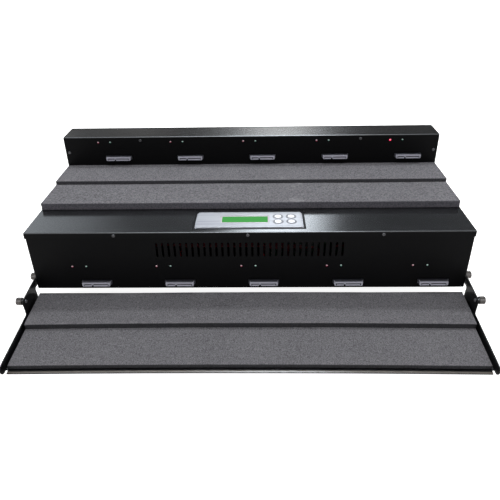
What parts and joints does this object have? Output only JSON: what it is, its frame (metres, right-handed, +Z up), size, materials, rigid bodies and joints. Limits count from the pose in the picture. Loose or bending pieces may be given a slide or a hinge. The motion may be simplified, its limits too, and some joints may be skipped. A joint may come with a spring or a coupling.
{
  "type": "hard drive duplicator",
  "caption": "Desktop machine that copies hard drives: a low steel case with a raised rear tower, foam drive beds on top and on a swing-up front tray, sockets, lamps and a small control panel.",
  "frame": {"origin": "on the bench under the middle of the bounding box, with the tray down as pictured", "axes": "+X to the right seen from the front, +Y to the back, +Z up"},
  "size_m": [0.6314, 0.3952, 0.1919],
  "materials": {
    "black_powder_coat": "gloss fine-textured powder coat",
    "bare_steel": "zinc-plated",
    "black_screw": "black oxide",
    "bright_metal": "bright nickel",
    "panel_metal": "satin anodised",
    "heatsink_metal": "extruded, as cut",
    "brass_post": "turned",
    "grey_foam": "closed-cell foam, matt",
    "black_rubber": "matt moulded",
    "lavender_plastic": "moulded",
    "black_plastic": "moulded",
    "button_plastic": "silver lacquered",
    "green_board": "solder mask",
    "red_lamp": "tinted clear",
    "green_lamp": "tinted clear",
    "screen": "lit display behind its window",
    "red_cable": "cable jacket"
  },
  "bodies": {
    "chassis": {"base_pan": "black_powder_coat", "top_cover": "black_powder_coat", "tower_shell": "black_powder_coat", "tower_ends": "black_powder_coat", "tower_braces": "bare_steel", "tower_back": "black_powder_coat", "rear_panel": "black_powder_coat", "case_screws": "black_screw", "foot_legs": "black_plastic", "foot_pads": "black_rubber", "foot_screws": "bare_steel", "rear_foam_lower": "grey_foam", "rear_foam_upper": "grey_foam", "control_bezel": "panel_metal", "lcd_window": "screen", "lcd_module": "black_plastic", "keypad_board": "green_board", "keypad_switches": "black_plastic", "controller_board": "green_board", "controller_chips": "black_plastic", "controller_heatsink": "heatsink_metal", "board_standoffs": "brass_post", "board_screws": "bare_steel", "port_boards": "green_board", "sata_sockets": "lavender_plastic", "red_leds": "red_lamp", "green_leds": "green_lamp", "power_supply_case": "bare_steel", "power_supply_board": "green_board", "supply_terminals": "black_plastic", "power_inlet": "black_plastic", "inlet_pins": "bright_metal", "fan_frames": "black_plastic", "fan_guards": "bright_metal", "fan_screws": "bare_steel", "pivot_nuts": "bare_steel", "pivot_washers": "bare_steel", "port_cables": "red_cable"},
    "tray": {"tray_pan": "black_powder_coat", "tray_foam_lower": "grey_foam", "tray_foam_upper": "grey_foam", "arm_end_studs": "bare_steel"},
    "pivot_screw_right": {"pivot_screw_right": "bare_steel"},
    "pivot_screw_left": {"pivot_screw_left": "bare_steel"},
    "pivot_knob_right": {"pivot_knob_right": "bright_metal"},
    "pivot_knob_left": {"pivot_knob_left": "bright_metal"},
    "lock_screw_right": {"lock_screw_right": "bare_steel"},
    "lock_screw_left": {"lock_screw_left": "bare_steel"},
    "lock_knob_right": {"lock_knob_right": "bright_metal"},
    "lock_knob_left": {"lock_knob_left": "bright_metal"},
    "menu_button_1": {"menu_button_1": "button_plastic"},
    "menu_button_2": {"menu_button_2": "button_plastic"},
    "menu_button_3": {"menu_button_3": "button_plastic"},
    "menu_button_4": {"menu_button_4": "button_plastic"},
    "power_rocker": {"power_rocker": "black_plastic"},
    "fuse_drawer": {"fuse_drawer": "black_plastic"},
    "fan_rotor_left": {"fan_rotor_left": "black_plastic"},
    "fan_rotor_right": {"fan_rotor_right": "black_plastic"}
  },
  "joints": [
    {"name": "tray_hinge", "type": "hinge", "parent": "chassis", "child": "tray", "pos_m": [0, -0.043, 0.04921], "axis": [-1, 0, 0], "range_deg": [0, 90]},
    {"name": "pivot_slide_right", "type": "slide", "parent": "chassis", "child": "pivot_screw_right", "axis": [1, 0, 0], "range_m": [0, 0.0024]},
    {"name": "pivot_turn_right", "type": "hinge", "parent": "pivot_screw_right", "child": "pivot_knob_right", "pos_m": [0.3059, -0.043, 0.04921], "axis": [1, 0, 0], "range_deg": [0, 1080.01]},
    {"name": "lock_slide_right", "type": "slide", "parent": "tray", "child": "lock_screw_right", "axis": [-1, 0, 0], "range_m": [0, 0.0026]},
    {"name": "lock_turn_right", "type": "hinge", "parent": "lock_screw_right", "child": "lock_knob_right", "pos_m": [0.3076, -0.09661, 0.04358], "axis": [-1, 0, 0], "range_deg": [0, 1170.01]},
    {"name": "pivot_slide_left", "type": "slide", "parent": "chassis", "child": "pivot_screw_left", "axis": [-1, 0, 0], "range_m": [0, 0.0024]},
    {"name": "pivot_turn_left", "type": "hinge", "parent": "pivot_screw_left", "child": "pivot_knob_left", "pos_m": [-0.3059, -0.043, 0.04921], "axis": [-1, 0, 0], "range_deg": [0, 1080.01]},
    {"name": "lock_slide_left", "type": "slide", "parent": "tray", "child": "lock_screw_left", "axis": [1, 0, 0], "range_m": [0, 0.0026]},
    {"name": "lock_turn_left", "type": "hinge", "parent": "lock_screw_left", "child": "lock_knob_left", "pos_m": [-0.3076, -0.09661, 0.04358], "axis": [1, 0, 0], "range_deg": [0, 1170.01]},
    {"name": "menu_button_1_press", "type": "slide", "parent": "chassis", "child": "menu_button_1", "axis": [0, 0, -1], "range_m": [0, 0.0005], "stiffness_N_per_m": 500, "springref_m": -0.001},
    {"name": "menu_button_2_press", "type": "slide", "parent": "chassis", "child": "menu_button_2", "axis": [0, 0, -1], "range_m": [0, 0.0005], "stiffness_N_per_m": 500, "springref_m": -0.001},
    {"name": "menu_button_3_press", "type": "slide", "parent": "chassis", "child": "menu_button_3", "axis": [0, 0, -1], "range_m": [0, 0.0005], "stiffness_N_per_m": 500, "springref_m": -0.001},
    {"name": "menu_button_4_press", "type": "slide", "parent": "chassis", "child": "menu_button_4", "axis": [0, 0, -1], "range_m": [0, 0.0005], "stiffness_N_per_m": 500, "springref_m": -0.001},
    {"name": "power_rocker_tilt", "type": "hinge", "parent": "chassis", "child": "power_rocker", "pos_m": [-0.039, 0.19185, 0.09861], "axis": [0, 0, 1], "range_deg": [0, 14]},
    {"name": "fuse_drawer_pull", "type": "slide", "parent": "chassis", "child": "fuse_drawer", "axis": [0, 1, 0], "range_m": [0, 0.016]},
    {"name": "fan_spin_left", "type": "hinge", "parent": "chassis", "child": "fan_rotor_left", "pos_m": [0.0786, 0.18015, 0.08401], "axis": [0, 1, 0], "continuous": true},
    {"name": "fan_spin_right", "type": "hinge", "parent": "chassis", "child": "fan_rotor_right", "pos_m": [0.1962, 0.18015, 0.08401], "axis": [0, 1, 0], "continuous": true}
  ],
  "couplings": [
    {"joint": "pivot_turn_right", "follows": "pivot_slide_right", "rad_per_m": 7854},
    {"joint": "lock_turn_right", "follows": "lock_slide_right", "rad_per_m": 7854},
    {"joint": "pivot_turn_left", "follows": "pivot_slide_left", "rad_per_m": 7854},
    {"joint": "lock_turn_left", "follows": "lock_slide_left", "rad_per_m": 7854}
  ]
}
